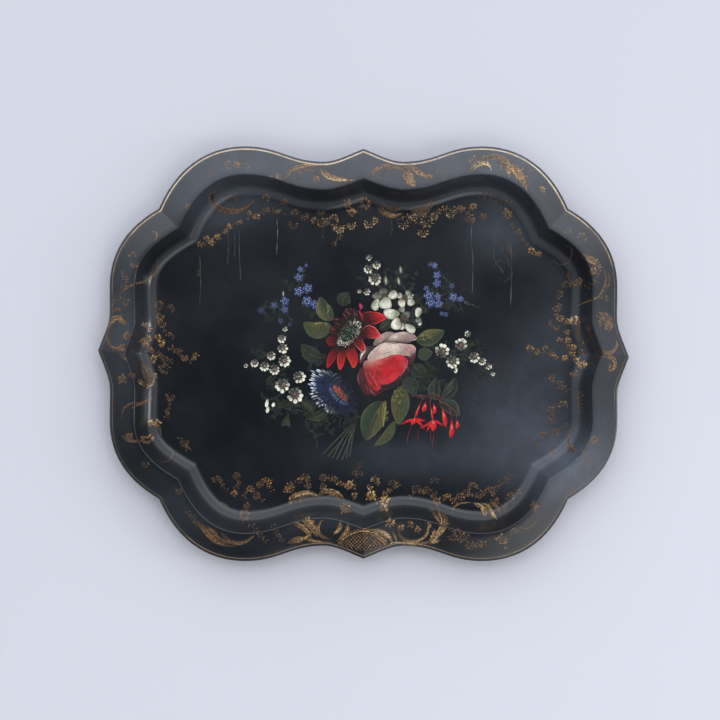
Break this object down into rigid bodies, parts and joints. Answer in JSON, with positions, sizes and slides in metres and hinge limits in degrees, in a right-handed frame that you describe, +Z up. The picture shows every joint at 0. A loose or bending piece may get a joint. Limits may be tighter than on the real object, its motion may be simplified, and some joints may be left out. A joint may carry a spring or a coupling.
{
  "type": "painted serving tray",
  "caption": "Scalloped oblong serving tray of black lacquered sheet steel, with a steep wall, a broad flange, a wired edge, a painted bouquet and gold ornament.",
  "frame": {"origin": "middle of the floor's underside, on the surface that the tray stands on", "axes": "+X along the tray's length, +Y across it towards the long side at the bouquet's top, +Z up out of the tray"},
  "size_m": [0.64, 0.5, 0.0358],
  "materials": {
    "black_lacquer": "satin to gloss black lacquer over a dark ground, worn, hand painted in oils and gold",
    "bare_steel": "drawn steel wire, hidden inside the curled edge"
  },
  "bodies": {
    "root": {"tray_shell": "black_lacquer", "edge_wire": "bare_steel"}
  },
  "joints": []
}
